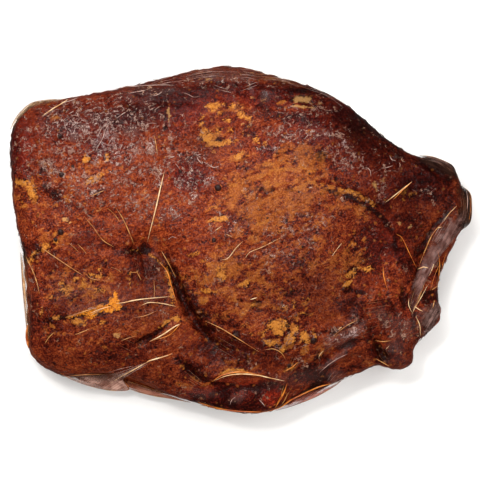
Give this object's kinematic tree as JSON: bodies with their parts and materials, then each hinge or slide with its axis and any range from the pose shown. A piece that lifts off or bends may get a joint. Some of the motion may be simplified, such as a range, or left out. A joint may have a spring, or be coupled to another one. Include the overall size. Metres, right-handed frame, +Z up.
{
  "type": "vacuum-packed smoked beef brisket",
  "caption": "Slab of smoked beef brisket sealed in tight clear vacuum film, lying on its flat side, with film margins and pleats.",
  "frame": {"origin": "on the resting face, under the middle of the pack's box", "axes": "+X along the length towards the gathered thin end, +Y towards the back edge, +Z up out of the fatty top"},
  "size_m": [0.3016, 0.227, 0.0565],
  "materials": {
    "smoked_meat": "glossy, mottled with fat",
    "vacuum_film": "clear, tight, crinkled",
    "spice": "rough"
  },
  "bodies": {
    "root": {"packed_brisket": "smoked_meat"}
  },
  "joints": []
}
